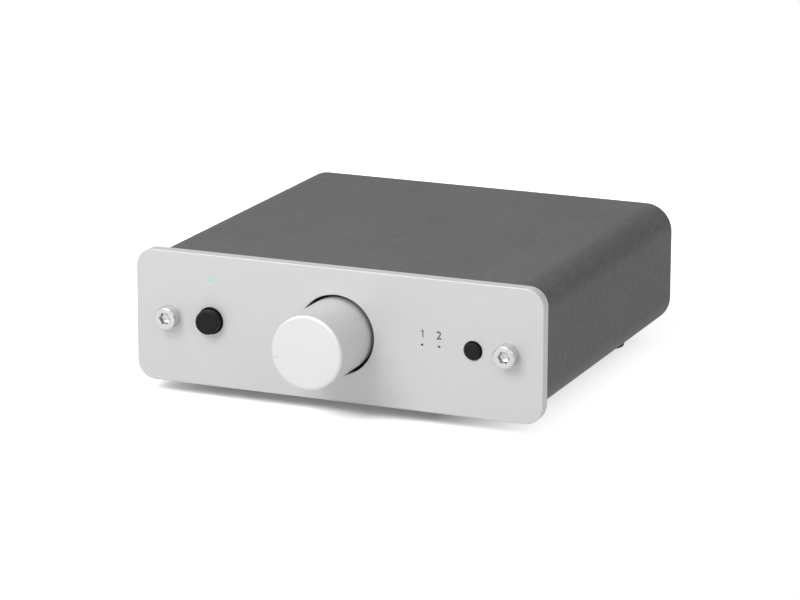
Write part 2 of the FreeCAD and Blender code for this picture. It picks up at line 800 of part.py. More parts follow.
def make_ground_post():
    # The stud is clamped through the plate by a nut; the washer and the thumb nut run on its thread.
    x, z = "ground_place", "high_socket"
    head = rod("stud_head_radius", x, z, "plate_front - stud_head_thick", "plate_front")
    shank = rod("stud_radius", x, z, "plate_front", "plate_back + stud_reach")
    subpart("ground_stud", fuse(head, shank))
    nut = hexagon("clamp_nut_key", x, z, "plate_back", "clamp_nut_back")
    subpart("ground_stud_nut", cut(nut, rod("stud_radius", x, z, "plate_back", "clamp_nut_back")))
    subpart("ground_washer", tube("washer_radius", "stud_radius + ground_play", x, z,
                                  "washer_front", "washer_back"))
    thumb = rod("thumb_radius", x, z, "thumb_front", "thumb_front + thumb_thick")
    doc.recompute()
    rim = doc.addObject("Part::Chamfer", "Rim")
    rim.Base = thumb
    back = places.thumb_front + sizes["thumb_thick"]
    chosen = [n for n, edge in enumerate(thumb.Shape.Edges, start=1) if lies_at(back)(edge)]
    rim.Edges = [(n, sizes["thumb_edge"], sizes["thumb_edge"]) for n in chosen]
    bore = rod("stud_radius + ground_play", x, z, "thumb_front", "thumb_front + thumb_thick")
    subpart("ground_thumb_nut", cut(rim, bore))


def on_board(x, y, length, depth, height):
    """A part standing on the board with its middle at x and y."""
    return block(x, length, f"{y} - ({depth}) / 2", f"{y} + ({depth}) / 2", "board_top",
                 f"board_top + {height}")


def make_board_parts():
    columns = [f"part_pitch * ({step}.0 - 2.5)" for step in range(6)]
    subpart("electrolytic_capacitors",
            group([post("can_radius", x, "can_row", "board_top", "board_top + can_height")
                   for x in columns]))
    subpart("film_capacitors",
            group([on_board(x, "film_row", "film_length", "film_width", "film_height")
                   for x in columns[:4]]))
    resistor_rows = ("resistor_row", "resistor_row + resistor_width + resistor_gap")
    subpart("board_resistors",
            group([on_board(x, y, "resistor_length", "resistor_width", "resistor_height")
                   for x in columns for y in resistor_rows]))
    subpart("op_amps", group([on_board(x, "amp_row", "amp_length", "amp_width", "amp_height")
                              for x in columns[3:6]]))
    subpart("input_relays",
            group([on_board(x, "relay_row", "relay_width", "relay_length", "relay_height")
                   for x in ("first_socket", "first_socket - socket_pitch")]))
    subpart("converter_chip",
            on_board("usb_place", "amp_row", "chip_width", "chip_width", "chip_height"))
    subpart("clock_crystal", on_board("usb_place", "crystal_row", "crystal_length",
                                      "crystal_width", "crystal_height"))
    subpart("voltage_regulator", on_board("inlet_place", "amp_row", "regulator_width",
                                          "regulator_depth", "regulator_height"))


make_front_panel()
make_sleeve()
make_rear_plate()
make_rails()
make_fasteners()
make_circuit_board()
make_control_board()
make_gain_knob()
make_potentiometer()
make_button("power_button", "-(power_place)", "power_radius", "power_reach")
make_button("selector_button", "selector_place", "selector_radius", "selector_reach")
make_switch("power_switch", "-(power_place)", "power_switch_width", "power_switch_front")
make_switch("selector_switch", "selector_place", "selector_switch_width", "selector_switch_front")
make_lamps()
make_rubber_feet()
make_phono_sockets()
make_digital_socket()
make_power_inlet()
make_cartridge_switch()
make_ground_post()
make_board_parts()
doc.recompute()

for item in doc.Objects:
    if "Invalid" in item.State or "Error" in item.State:
        raise RuntimeError(f"{item.Label} failed: {item.State}")
for item in subparts:
    if item.Shape.isNull() or not item.Shape.isValid():
        raise RuntimeError(f"{item.Label} has no valid shape")

os.makedirs("parts", exist_ok=True)
for item in subparts:
    item.Shape.exportStep(f"parts/{item.Label}.step")
    print(item.Label, len(item.Shape.Solids), round(item.Shape.Volume, 2))
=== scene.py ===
import json
import math

import bmesh
import bpy
from mathutils import Matrix, Vector


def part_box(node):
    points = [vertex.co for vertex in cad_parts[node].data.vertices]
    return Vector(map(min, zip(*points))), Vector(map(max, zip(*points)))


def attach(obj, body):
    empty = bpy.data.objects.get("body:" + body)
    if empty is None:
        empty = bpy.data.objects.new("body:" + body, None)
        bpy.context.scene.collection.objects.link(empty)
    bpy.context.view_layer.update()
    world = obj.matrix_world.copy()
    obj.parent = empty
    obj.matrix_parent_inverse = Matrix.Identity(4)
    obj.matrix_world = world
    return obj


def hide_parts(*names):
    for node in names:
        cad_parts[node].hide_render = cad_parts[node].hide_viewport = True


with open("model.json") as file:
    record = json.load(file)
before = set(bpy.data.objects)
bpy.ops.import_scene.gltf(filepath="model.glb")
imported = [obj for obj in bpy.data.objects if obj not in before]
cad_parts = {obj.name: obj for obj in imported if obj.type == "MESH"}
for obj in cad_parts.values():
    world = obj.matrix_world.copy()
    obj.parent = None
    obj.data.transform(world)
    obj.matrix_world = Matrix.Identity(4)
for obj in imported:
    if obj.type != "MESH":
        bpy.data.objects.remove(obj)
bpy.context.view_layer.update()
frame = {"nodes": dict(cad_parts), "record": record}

nodes = frame["nodes"]
mm = 0.001
print("frame loaded:", len(nodes), "nodes")


def inMetres(**sizes):
    return {key: size * mm for key, size in sizes.items()}


def addNode(tree, kind, settings=None, values=None):
    # one node of any tree, with the values or links of its sockets
    node = tree.nodes.new(kind)
    for key, value in (settings or {}).items():
        setattr(node, key, value)
    for key, value in (values or {}).items():
        if isinstance(value, bpy.types.NodeSocket):
            tree.links.new(value, node.inputs[key])
        else:
            node.inputs[key].default_value = value
    return node


class Wire:
    # a shader socket that can stand in a sum
    def __init__(self, board, socket):
        self.board = board
        self.socket = socket

    def sum(self, operation, first, second=0.0):
        return self.board.add("ShaderNodeMath", {"operation": operation}, {0: first, 1: second})

    def __add__(self, other):
        return self.sum("ADD", self, other)

    def __sub__(self, other):
        return self.sum("SUBTRACT", self, other)

    def __rsub__(self, other):
        return self.sum("SUBTRACT", other, self)

    def __mul__(self, other):
        return self.sum("MULTIPLY", self, other)

    def __truediv__(self, other):
        return self.sum("DIVIDE", self, other)

    def __pow__(self, other):
        return self.sum("POWER", self, other)

    __radd__ = __add__
    __rmul__ = __mul__

    def sine(self):
        return self.sum("SINE", self)

    def root(self):
        return self.sum("SQRT", self)

    def above(self, limit):
        return self.sum("GREATER_THAN", self, limit)

    def most(self, other):
        return self.sum("MAXIMUM", self, other)

    def clipped(self):
        return self.sum("MINIMUM", self.sum("MAXIMUM", self, 0.0), 1.0)


class Board:
    # the node tree of a material, or of the world
    def __init__(self, name, owner=None):
        self.material = owner or bpy.data.materials.new(name)
        self.material.use_nodes = True
        self.tree = self.material.node_tree
        self.tree.nodes.clear()

    def add(self, kind, settings=None, values=None, output=0):
        # gives the output asked for, or several when their names are listed
        plainValues = {key: value.socket if isinstance(value, Wire) else value
                       for key, value in (values or {}).items()}
        node = addNode(self.tree, kind, settings, plainValues)
        if isinstance(output, list):
            return [Wire(self, node.outputs[name]) for name in output]
        return Wire(self, node.outputs[output]) if node.outputs else node

    def place(self, centre=(0, 0, 0)):
        # object coordinates in millimetres, measured from a centre in metres
        spot = self.add("ShaderNodeTexCoord", output="Object")
        back = tuple(-value / mm for value in centre)
        return self.add("ShaderNodeMapping", {"vector_type": "POINT"},
                        {"Vector": spot, "Location": back, "Scale": (1 / mm,) * 3})

    def split(self, vector):
        return self.add("ShaderNodeSeparateXYZ", {}, {0: vector}, ["X", "Y", "Z"])

    def noise(self, vector, scale, detail, roughness=0.5):
        return self.add("ShaderNodeTexNoise", {}, {"Vector": vector, "Scale": scale,
                                                   "Detail": detail, "Roughness": roughness})

    def between(self, low, high, factor):
        # one colour fading into another
        return self.add("ShaderNodeMix", {"data_type": "RGBA"},
                        {"Factor": factor, 6: low, 7: high}, output=2)

    def tinted(self, colour, gains, factor):
        # a colour that goes from one gain to the other
        return self.between(shade(colour, gains[0]), shade(colour, gains[1]), factor)

    def bump(self, height, strength, depth):
        return self.add("ShaderNodeBump", {}, {"Height": height, "Strength": strength,
                                               "Distance": depth * mm})

    def surface(self, **values):
        shader = self.add("ShaderNodeBsdfPrincipled", {},
                          {key.replace("_", " "): value for key, value in values.items()})
        self.add("ShaderNodeOutputMaterial", {}, {"Surface": shader})
        return self.material


def shade(colour, gain=1.0):
    return tuple(min(1.0, part * gain) for part in colour) + (1.0,)


# In the finishes a noise is its scale per mm, its detail and its roughness, a tint is the gains
# that the colour goes between, and a relief is a bump's strength and its depth in mm.
blastLook = {"grain": (3.2, 2.0, 0.6), "cloud": (0.045, 2.0), "grainShare": 0.5,
             "tint": (0.98, 1.02), "roughSpan": 0.1, "relief": (0.08, 0.05)}


def blastedAluminium(name, colour, roughness, metallic):
    # bead blasted and anodised: fine even grain with a faint cloudiness
    board, look = Board(name), blastLook
    spot, span, share = board.place(), look["roughSpan"], look["grainShare"]
    grain = board.noise(spot, *look["grain"])
    tone = grain * share + board.noise(spot, *look["cloud"]) * (1 - share)
    return board.surface(Base_Color=board.tinted(colour, look["tint"], tone),
                         Roughness=roughness - span / 2 + grain * span, Metallic=metallic,
                         Normal=board.bump(grain, *look["relief"]))


latheLook = {"pitch": 0.16, "drift": (0.12, 2.0), "tint": (0.98, 1.02), "ringRough": 0.012,
             "driftRough": 0.04, "relief": (0.05, 0.01)}


def turnedAluminium(name, colour, roughness, metallic, centre):
    # turned on a lathe: very fine rings round the axis, on the face and along the barrel
    board, look = Board(name), latheLook
    spot = board.place(centre)
    across, along, up = board.split(spot)
    radius = (across * across + up * up).root()
    rings = ((radius + along) * (2 * math.pi / look["pitch"])).sine()
    drift = board.noise(spot, *look["drift"])
    rough = roughness + rings * look["ringRough"] + drift * look["driftRough"]
    return board.surface(Base_Color=board.tinted(colour, look["tint"], drift), Roughness=rough,
                         Metallic=metallic, Normal=board.bump(rings, *look["relief"]))


coatLook = {"speck": (1.7, 4.0, 0.7), "mottle": (0.6, 3.0, 0.6), "cloud": (0.05, 3.0),
            "shares": (0.35, 0.45, 0.2), "tint": (0.2, 1.8), "roughSpan": 0.12, "gloss": 0.3,
            "relief": (0.3, 0.03)}


def structuredCoat(name, colour, roughness):
    # fine structured paint: tiny specks and a slow change of tone
    board, look = Board(name), coatLook
    spot, span = board.place(), look["roughSpan"]
    speck, mottle, cloud = (board.noise(spot, *look[key]) for key in ("speck", "mottle", "cloud"))
    shares = look["shares"]
    tone = speck * shares[0] + mottle * shares[1] + cloud * shares[2]
    return board.surface(Base_Color=board.tinted(colour, look["tint"], tone),
                         Roughness=roughness - span / 2 + speck * span,
                         Specular_IOR_Level=look["gloss"],
                         Normal=board.bump(speck, *look["relief"]))


plasticLook = {"texture": (1.6, 3.0, 0.6), "flow": (0.15, 2.0), "tint": (0.92, 1.08),
               "roughSpan": 0.08, "relief": (0.12, 0.02)}


def mouldedPlastic(name, colour, roughness, gloss=0.5):
    # moulded plastic with a slight spark-eroded texture
    board, look = Board(name), plasticLook
    spot, span = board.place(), look["roughSpan"]
    texture = board.noise(spot, *look["texture"])
    flow = board.noise(spot, *look["flow"])
    return board.surface(Base_Color=board.tinted(colour, look["tint"], flow),
                         Roughness=roughness - span / 2 + texture * span,
                         Specular_IOR_Level=gloss, Normal=board.bump(texture, *look["relief"]))


platingLook = {"smear": (0.5, 4.0, 0.65), "fine": (6.0, 2.0), "tint": (0.96, 1.03), "wear": 0.06,
               "relief": (0.04, 0.01)}


def platedMetal(name, colour, roughness):
    # bright plating, a little duller where it has been handled
    board, look = Board(name), platingLook
    spot = board.place()
    smear = board.noise(spot, *look["smear"])
    fine = board.noise(spot, *look["fine"])
    return board.surface(Base_Color=board.tinted(colour, look["tint"], smear),
                         Roughness=roughness + smear * look["wear"], Metallic=1.0,
                         Normal=board.bump(fine, *look["relief"]))


rubberLook = {"dust": (0.8, 4.0, 0.6), "fine": (5.0, 2.0), "tint": (0.9, 1.5), "dustRough": 0.15,
              "relief": (0.12, 0.02)}


def softRubber(name, colour, roughness):
    # dull rubber with a little dust on it
    board, look = Board(name), rubberLook
    spot = board.place()
    dust = board.noise(spot, *look["dust"])
    fine = board.noise(spot, *look["fine"])
    return board.surface(Base_Color=board.tinted(colour, look["tint"], dust),
                         Roughness=roughness + dust * look["dustRough"],
                         Normal=board.bump(fine, *look["relief"]))


inkLook = {"mottle": (4.0, 3.0), "tint": (0.9, 1.15), "mottleRough": 0.1}


def printedInk(name, colour, roughness):
    # ink with a slightly uneven film
    board, look = Board(name), inkLook
    mottle = board.noise(board.place(), *look["mottle"])
    return board.surface(Base_Color=board.tinted(colour, look["tint"], mottle),
                         Roughness=roughness + mottle * look["mottleRough"])


lensLook = {"radius": 0.36, "falloff": 2.0, "glowTint": (1.0, 0.55), "bodyTint": (1.0, 0.7),
            "roughness": 0.25}


def lampLens(name, colour, glow, strength, centre):
    # a light pipe's end: brightest in the middle, fading to its rim
    board, look = Board(name), lensLook
    across, along, up = board.split(board.place(centre))
    rim = (((across * across + up * up).root() / look["radius"]) ** look["falloff"]).clipped()
    return board.surface(Base_Color=board.tinted(colour, look["bodyTint"], rim),
                         Roughness=look["roughness"],
                         Emission_Color=board.tinted(glow, look["glowTint"], rim),
                         Emission_Strength=strength)


maskLook = {"waves": (1.7, 1.3), "cover": 0.55, "tint": (1.0, 1.6), "trackRough": 0.05}


def boardMask(name, colour, roughness):
    # solder mask with faint tracks under it
    board, look = Board(name), maskLook
    across, along, up = board.split(board.place())
    waves = (across * look["waves"][0]).sine() * (along * look["waves"][1]).sine()
    tracks = waves.above(look["cover"])
    return board.surface(Base_Color=board.tinted(colour, look["tint"], tracks),
                         Roughness=roughness + tracks * look["trackRough"])


def middleOf(node):
    low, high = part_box(node)
    return (low + high) / 2


def spotOf(node):
    # x and z of a node's middle, as seen from the front
    middle = middleOf(node)
    return middle.x, middle.z


def sizeOf(node):
    low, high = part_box(node)
    return high - low


def endsOf(node):
    # y of a node's front and of its rear
    return tuple(corner.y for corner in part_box(node))


knobAxis = middleOf("gain_knob")
powerLamp = middleOf("power_light_pipe")
finishes = {
    "panel_aluminium": blastedAluminium("panelAluminium", (0.575, 0.575, 0.573), 0.5, 0.35),
    "knob_aluminium": turnedAluminium("knobAluminium", (0.685, 0.685, 0.682), 0.5, 0.82, knobAxis),
    "sleeve_paint": structuredCoat("sleeveCoat", (0.089, 0.089, 0.09), 0.55),
    "plate_black": structuredCoat("plateCoat", (0.022, 0.022, 0.023), 0.45),
    "rail_aluminium": blastedAluminium("railAluminium", (0.62, 0.62, 0.62), 0.45, 0.8),
    "plated_steel": platedMetal("platedSteel", (0.62, 0.62, 0.62), 0.22),
    "black_steel": platedMetal("blackSteel", (0.05, 0.05, 0.05), 0.35),
    "gold_plate": platedMetal("goldPlate", (0.86, 0.62, 0.26), 0.2),
    "button_plastic": mouldedPlastic("buttonPlastic", (0.009, 0.009, 0.009), 0.42, 0.16),
    "black_plastic": mouldedPlastic("blackPlastic", (0.014, 0.014, 0.014), 0.45, 0.3),
    "white_plastic": mouldedPlastic("whitePlastic", (0.78, 0.78, 0.75), 0.4),
    "red_plastic": mouldedPlastic("redPlastic", (0.52, 0.03, 0.025), 0.38),
    "clear_plastic": mouldedPlastic("smokedPlastic", (0.07, 0.07, 0.072), 0.3, 0.4),
    "board_green": boardMask("boardMask", (0.012, 0.09, 0.035), 0.35),
    "can_sleeve": mouldedPlastic("canSleeve", (0.02, 0.03, 0.09), 0.3),
    "foot_rubber": softRubber("footRubber", (0.012, 0.012, 0.012), 0.62),
}
lampGlow = lampLens("lampGlow", (0.2, 0.55, 0.7), (0.12, 0.62, 0.95), 0.85, powerLamp)
inkGrey = printedInk("inkGrey", (0.09, 0.09, 0.092), 0.55)
slotOfNode = {part["node"]: part["material_slot"] for part in frame["record"]["subparts"]}
for node, thing in nodes.items():
    thing.data.materials.clear()
    thing.data.materials.append(finishes[slotOfNode[node]])
print("finishes made:", len(finishes))


def newObject(name, data):
    thing = bpy.data.objects.new(name, data)
    bpy.context.scene.collection.objects.link(thing)
    return thing


def newPiece(name, mesh, finish):
    mesh.materials.clear()
    mesh.materials.append(finish)
    return newObject(name, mesh)


def fit(name, mesh, node=None, body="base", slot=None):
    # a piece that takes the place of its CAD node, where it has one, and moves with a body
    slot = slot or slotOfNode[node]
    piece = newPiece(name, mesh, finishes[slot])
    if node:
        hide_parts(node)
    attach(piece, body)
    return piece


def bakedMesh(holder):
    # the evaluated shape of an object as a plain mesh; the object itself goes away
    bpy.context.view_layer.update()
    graph = bpy.context.evaluated_depsgraph_get()
    mesh = bpy.data.meshes.new_from_object(holder.evaluated_get(graph), depsgraph=graph)
    bpy.data.objects.remove(holder)
    return mesh


def dressedMesh(mesh, angle=35.0):
    # smooth rounds between flat faces that stay flat to the eye
    mesh.shade_smooth()
    mesh.set_sharp_from_angle(angle=math.radians(angle))
    holder = newObject(mesh.name, mesh)
    holder.modifiers.new("flats", "WEIGHTED_NORMAL").keep_sharp = True
    return bakedMesh(holder)


weldDistance = 0.0005 * mm


def closedMesh(name, shape):
    bmesh.ops.remove_doubles(shape, verts=shape.verts, dist=weldDistance)
    bmesh.ops.recalc_face_normals(shape, faces=shape.faces)
    mesh = bpy.data.meshes.new(name)
    shape.to_mesh(mesh)
    shape.free()
    return mesh


def joinedMesh(name, meshes):
    shape = bmesh.new()
    for mesh in meshes:
        shape.from_mesh(mesh)
    return closedMesh(name, shape)


def shellMesh(name, rings, ends="open"):
    # faces from each ring of points to the next, where a ring may be a single point; the ends
    # are left open, filled, or joined to each other
    shape = bmesh.new()
    rings = [[shape.verts.new(point) for point in ring] for ring in rings]
    if ends == "filled":
        shape.faces.new(rings[0])
        shape.faces.new(rings[-1])
    for first, second in zip(rings, rings[1:] + (rings[:1] if ends == "joined" else [])):
        count = max(len(first), len(second))
        for step in range(count):
            after = (step + 1) % count
            corners = [first[step % len(first)], first[after % len(first)],
                       second[after % len(second)], second[step % len(second)]]
            unique = list(dict.fromkeys(corners))
            if len(unique) > 2:
                shape.faces.new(unique)
    return closedMesh(name, shape)


def softCorners(corners, radii, steps):
    # a run of (a, b) corners, each rounded by its own radius
    points = []
    for index, corner in enumerate(corners):
        here, radius = Vector(corner), radii[index]
        if radius <= 0:
            points.append(here)
            continue
        before = (Vector(corners[index - 1]) - here).normalized()
        after = (Vector(corners[(index + 1) % len(corners)]) - here).normalized()
        half = before.angle(after) / 2
        reach = radius / math.tan(half)
        middle = here + (before + after).normalized() * (radius / math.sin(half))
        start = here + before * reach - middle
        turn = start.angle_signed(here + after * reach - middle)
        for step in range(steps + 1):
            points.append(middle + Matrix.Rotation(-turn * step / steps, 2) @ start)
    return points


def rounded(points, radii, steps):
    # an open profile with its inner corners rounded
    return [tuple(corner) for corner in softCorners(points, [0] + list(radii) + [0], steps)]


def easedCorner(radius, y, edge, side=1):
    # three points round a rim, on its outside (side 1) or in its bore (side -1)
    share = 0.3
    return [(radius, y - edge), (radius - side * share * edge, y - share * edge),
            (radius - side * edge, y)]


def box2d(width, height, centre, radius, steps):
    x, z = centre
    corners = [(x + across * width / 2, z + up * height / 2)
               for across, up in ((-1, -1), (1, -1), (1, 1), (-1, 1))]
    return softCorners(corners, [radius] * 4, steps)


def ring2d(radius, centre, count=48):
    x, z = centre
    angles = [2 * math.pi * step / count for step in range(count)]
    return [Vector((x + radius * math.cos(a), z + radius * math.sin(a))) for a in angles]


upright = Matrix.Rotation(math.pi / 2, 4, "X")


def plateMesh(name, outlines, front, back, edge, steps=2):
    # an upright plate cut to outlines, with every edge broken by a small round
    curve = bpy.data.curves.new(name, "CURVE")
    curve.dimensions = "2D"
    curve.fill_mode = "BOTH"
    curve.extrude = (back - front) / 2 - edge
    curve.bevel_depth = edge
    curve.bevel_resolution = steps
    curve.offset = -edge
    for outline in outlines:
        spline = curve.splines.new("POLY")
        spline.points.add(len(outline) - 1)
        for point, (x, z) in zip(spline.points, outline):
            point.co = (x, z, 0, 1)
        spline.use_cyclic_u = True
    mesh = bakedMesh(newObject(name, curve))
    mesh.transform(Matrix.Translation((0, (front + back) / 2, 0)) @ upright)
    return dressedMesh(joinedMesh(name, [mesh]))


def atDepth(outline, y):
    # an (x, z) outline as points in space
    return [(x, y, z) for x, z in outline]


def prismMesh(name, outline, front, back):
    return shellMesh(name, [atDepth(outline, front), atDepth(outline, back)], "filled")


def carvedMesh(mesh, tool):
    # the mesh with the tool's shape cut out of it
    holder, cutter = newObject(mesh.name, mesh), newObject("tool", tool)
    cut = holder.modifiers.new("cut", "BOOLEAN")
    cut.operation = "DIFFERENCE"
    cut.solver = "EXACT"
    cut.object = cutter
    mesh = bakedMesh(holder)
    bpy.data.objects.remove(cutter)
    for layer in ("custom_normal", "sharp_edge"):  # the cut leaves these wrong beside its edges
        if layer in mesh.attributes:
            mesh.attributes.remove(mesh.attributes[layer])
    return dressedMesh(mesh)


def reachAt(radius, angle, sides):
    # how far the outline is at an angle: a circle, or a polygon given by half its width
    if not sides:
        return radius
    part = 2 * math.pi / sides
    return radius / math.cos((angle % part) - part / 2)


def turnedMesh(name, profile, centre, segments, closed=False):
    # a profile of (radius, y) or (radius, y, sides) turned about an axis along y
    x, z = centre
    angles = [2 * math.pi * step / segments for step in range(segments)]
    rings = []
    for radius, y, *sides in profile:
        if radius <= 0:
            rings.append([(x, y, z)])
            continue
        reaches = [(angle, reachAt(radius, angle, sides[0] if sides else 0)) for angle in angles]
        rings.append([(x + reach * math.cos(angle), y, z + reach * math.sin(angle))
                      for angle, reach in reaches])
    return dressedMesh(shellMesh(name, rings, "joined" if closed else "open"))


def threadProfile(radius, start, end, pitch, depth):
    # the ridges of a thread as rings, from start to end
    way = math.copysign(pitch, end - start)
    profile = []
    for turn in range(int(abs(end - start) / pitch)):
        profile += [(radius - depth, start + way * turn), (radius, start + way * (turn + 0.5))]
    return profile + [(radius - depth, end)]


def makeTree(name, inputs):
    # an empty geometry tree with named inputs, given as name: (kind, value)
    tree = bpy.data.node_groups.new(name, "GeometryNodeTree")
    tree.interface.new_socket("Geometry", in_out="OUTPUT", socket_type="NodeSocketGeometry")
    for label, (kind, value) in inputs.items():
        socket = tree.interface.new_socket(label, in_out="INPUT", socket_type="NodeSocket" + kind)
        if value is not None:
            socket.default_value = value
    return tree, tree.nodes.new("NodeGroupInput").outputs, tree.nodes.new("NodeGroupOutput")


def feed(tree, kind, values, operation=None, output=0):
    # a node of a geometry tree, known by what it gives
    settings = {"operation": operation} if operation else {}
    return addNode(tree, kind, settings, values).outputs[output]


def finishTree(tree, result, geometry, finish):
    # every tree ends in real geometry with its finish on
    real = feed(tree, "GeometryNodeRealizeInstances", {"Geometry": geometry})
    dressed = feed(tree, "GeometryNodeSetMaterial", {"Geometry": real, "Material": finish})
    tree.links.new(dressed, result.inputs[0])
    return tree


def runTree(name, tree, values, start=None):
    # the tree's result as a plain mesh, its inputs set by identifier
    holder = newObject(name, start or bpy.data.meshes.new(name))
    modifier = holder.modifiers.new("tree", "NODES")
    modifier.node_group = tree
    for item in tree.interface.items_tree:
        if item.in_out == "INPUT" and item.name in values:
            modifier[item.identifier] = values[item.name]
    return bakedMesh(holder)


def copiesTree():
    # one piece repeated on every point of the incoming mesh
    tree, source, result = makeTree("copiesOnPoints", {
        "Places": ("Geometry", None), "Piece": ("Object", None), "Size": ("Float", 1.0),
        "Finish": ("Material", None)})
    piece = feed(tree, "GeometryNodeObjectInfo", {"Object": source["Piece"]}, output="Geometry")
    copies = feed(tree, "GeometryNodeInstanceOnPoints", {
        "Points": source["Places"], "Instance": piece, "Scale": source["Size"]})
    return finishTree(tree, result, copies, source["Finish"])


def ribsTree():
    # ribs standing round an axis along y, joined to the body that carries them
    tree, source, result = makeTree("ribsRoundBody", {
        "Body": ("Object", None), "Rib": ("Object", None), "Count": ("Int", 24),
        "Radius": ("Float", 0.004), "Centre": ("Vector", (0, 0, 0)), "Finish": ("Material", None)})
    circle = feed(tree, "GeometryNodeMeshCircle", {"Vertices": source["Count"],
                                                   "Radius": source["Radius"]})
    step = feed(tree, "ShaderNodeMath", {0: 2 * math.pi, 1: source["Count"]}, "DIVIDE")
    index = feed(tree, "GeometryNodeInputIndex", {})
    angle = feed(tree, "ShaderNodeMath", {0: index, 1: step}, "MULTIPLY")
    turn = feed(tree, "ShaderNodeCombineXYZ", {"Z": angle})
    body, rib = (feed(tree, "GeometryNodeObjectInfo", {"Object": source[name]}, output="Geometry")
                 for name in ("Body", "Rib"))
    ribs = feed(tree, "GeometryNodeInstanceOnPoints", {"Points": circle, "Instance": rib,
                                                       "Rotation": turn})
    placed = feed(tree, "GeometryNodeTransform", {
        "Geometry": ribs, "Translation": source["Centre"], "Rotation": (math.pi / 2, 0, 0)})
    both = addNode(tree, "GeometryNodeJoinGeometry", {}, {0: placed})
    tree.links.new(body, both.inputs[0])
    return finishTree(tree, result, both.outputs[0], source["Finish"])


copiesOnPoints = copiesTree()
ribsRoundBody = ribsTree()


def fitCopies(name, mesh, places, node=None, slot=None):
    # one piece with the mesh, made about the origin, at every place
    finish = finishes[slot or slotOfNode[node]]
    pattern = newPiece(name + "Pattern", mesh, finish)
    points = bpy.data.meshes.new(name + "Places")
    points.from_pydata(places, [], [])
    baked = runTree(name, copiesOnPoints, {"Piece": pattern, "Finish": finish}, points)
    bpy.data.objects.remove(pattern)
    return fit(name, baked, node, slot=slot)


print("geometry trees made")

screwLook = {**inMetres(head=2.75, headHeight=3.0, edge=0.45, seatEdge=0.12, key=2.5, keyDepth=1.6,
                        keyEdge=0.12, keyFloor=0.05, keyPoint=0.5, hole=1.7, shank=1.5, neck=0.6,
                        length=10, pitch=0.5, thread=0.12), "keyTaper": 0.96}
panelFront, panelBack = endsOf("front_panel")
plateFront, plateRear = endsOf("rear_plate")
axisHeight = knobAxis.z
sideScrew = sizeOf("front_panel_screws").x / 2 - screwLook["head"]

panelLook = inMetres(corner=4.5, edge=0.22, knobHole=9.6, powerHole=3.2, selectorHole=2.25,
                     lampHole=0.36, dotHole=0.27)
pipeLook = {**inMetres(flange=1.2, dot=0.24, lamp=0.33, dome=0.12), "domeShare": (0.6, 0.25)}


def inputLamps():
    low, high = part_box("input_light_pipes")
    return [(x, axisHeight) for x in (low.x + pipeLook["flange"], high.x - pipeLook["flange"])]


def screwHoles():
    return [ring2d(screwLook["hole"], (side * sideScrew, axisHeight)) for side in (-1, 1)]


def makePanel():
    look = panelLook
    power, selector = middleOf("power_button"), middleOf("selector_button")
    size = sizeOf("front_panel")
    outlines = [box2d(size.x, size.z, (0, middleOf("front_panel").z), look["corner"], 16),
                ring2d(look["knobHole"], (0, axisHeight), 128),
                ring2d(look["powerHole"], (power.x, axisHeight), 72),
                ring2d(look["selectorHole"], (selector.x, axisHeight), 64), *screwHoles(),
                *(ring2d(look["dotHole"], spot, 24) for spot in inputLamps()),
                ring2d(look["lampHole"], (powerLamp.x, powerLamp.z), 24)]
    mesh = plateMesh("frontPanel", outlines, panelFront, panelBack, look["edge"])
    fit("frontPanel", mesh, "front_panel")


makePanel()
print("front panel made")

sleeveLook = {**inMetres(corner=6.8, wall=1.5, edge=0.2), "easeShare": 0.29, "sharpAngle": 50.0}


def makeSleeve():
    size = sizeOf("sleeve")
    centre = (0, middleOf("sleeve").z)
    corner, wall, edge = (sleeveLook[key] for key in ("corner", "wall", "edge"))
    ease = edge * sleeveLook["easeShare"]
    rim = [(0, edge), (ease, ease), (edge, 0), (wall - edge, 0), (wall - ease, ease), (wall, edge)]

    def outline(inset):
        return box2d(size.x - 2 * inset, size.z - 2 * inset, centre, corner - inset, 16)

    front, rear = endsOf("sleeve")
    rings = [atDepth(outline(inset), front + back) for inset, back in rim[::-1]]
    rings += [atDepth(outline(inset), rear - back) for inset, back in rim]
    mesh = dressedMesh(shellMesh("sleeveShell", rings, "joined"), sleeveLook["sharpAngle"])
    fit("sleeveShell", mesh, "sleeve")


makeSleeve()
print("sleeve made")

knobLook = {**inMetres(edge=0.8, back=0.3, bore=3.05, boreEdge=0.2, boreDepth=13, markInner=5.9,
                       markOuter=8.0, markWidth=0.5, markDepth=0.2),
            "markTurn": 103.0, "markRound": 0.98}


def makeKnob():
    look = knobLook
    front, rear = endsOf("gain_knob")
    radius, bore, floor = sizeOf("gain_knob").x / 2, look["bore"], rear - look["boreDepth"]
    profile = rounded([(0, front), (radius, front), (radius, rear), (bore, rear), (bore, floor),
                       (0, floor)], [look["edge"], look["back"], look["boreEdge"], 0], 8)
    knob = turnedMesh("gainKnob", profile, (0, axisHeight), segments=160)
    turn = math.radians(look["markTurn"])
    away = Vector((-math.sin(turn), math.cos(turn)))
    aside = Vector((away.y, -away.x))
    centre = Vector((0, axisHeight))
    half, inner, outer = look["markWidth"] / 2, look["markInner"], look["markOuter"]
    corners = [centre + away * reach + aside * side * half
               for reach, side in ((inner, -1), (outer, -1), (outer, 1), (inner, 1))]
    mark = prismMesh("knobMark", softCorners(corners, [half * look["markRound"]] * 4, 6),
                     front - half, front + look["markDepth"])
    fit("gainKnob", carvedMesh(knob, mark), "gain_knob", "knob")


makeKnob()
print("gain knob made")

buttonLook = inMetres(edge=0.4, flange=1.2, flangeThick=1.0, flangeEdge=0.15, dish=0.12)


